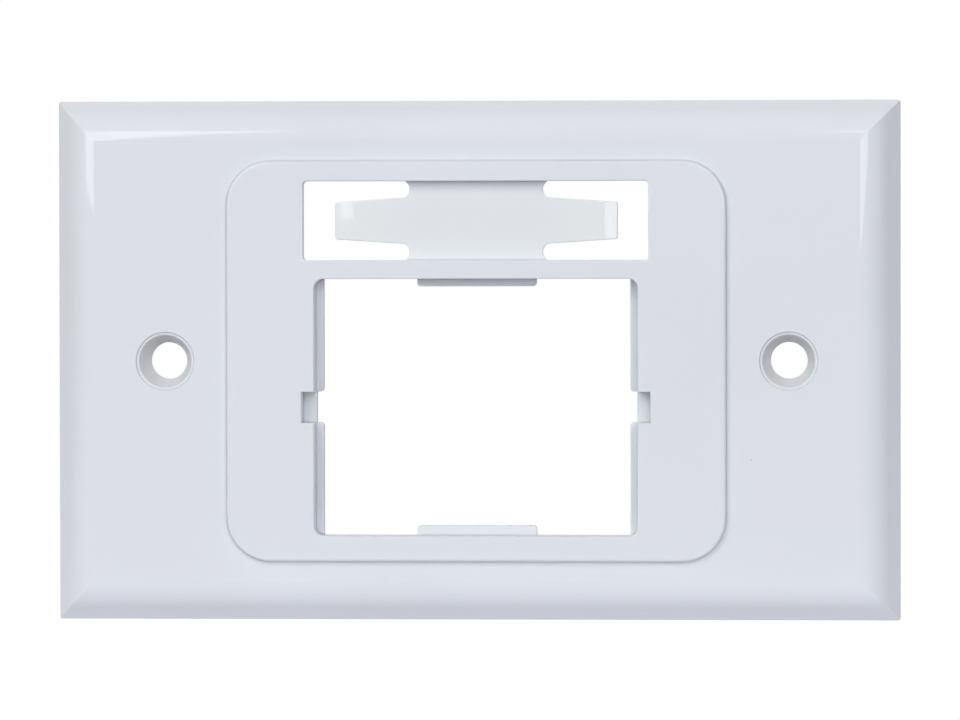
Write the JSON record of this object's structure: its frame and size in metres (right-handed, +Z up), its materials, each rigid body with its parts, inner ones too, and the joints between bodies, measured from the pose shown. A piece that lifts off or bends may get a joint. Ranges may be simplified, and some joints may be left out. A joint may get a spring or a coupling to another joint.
{
  "type": "faceplate",
  "caption": "White single-gang wall faceplate for a data outlet, with a framed module window, a sunk label bridge with spring tongues, countersunk screw holes and a bevelled edge.",
  "frame": {"origin": "midway between the two screw holes, on the wall plane that the rim and the screw bosses bear on", "axes": "+X along the plate's length, +Z up its height, +Y into the wall, so that the front faces -Y"},
  "size_m": [0.1138, 0.0074, 0.07],
  "materials": {
    "white_plastic": "cool white injection-moulded plastic, smooth and softly glossy"
  },
  "bodies": {
    "root": {"faceplate": "white_plastic"}
  },
  "joints": []
}
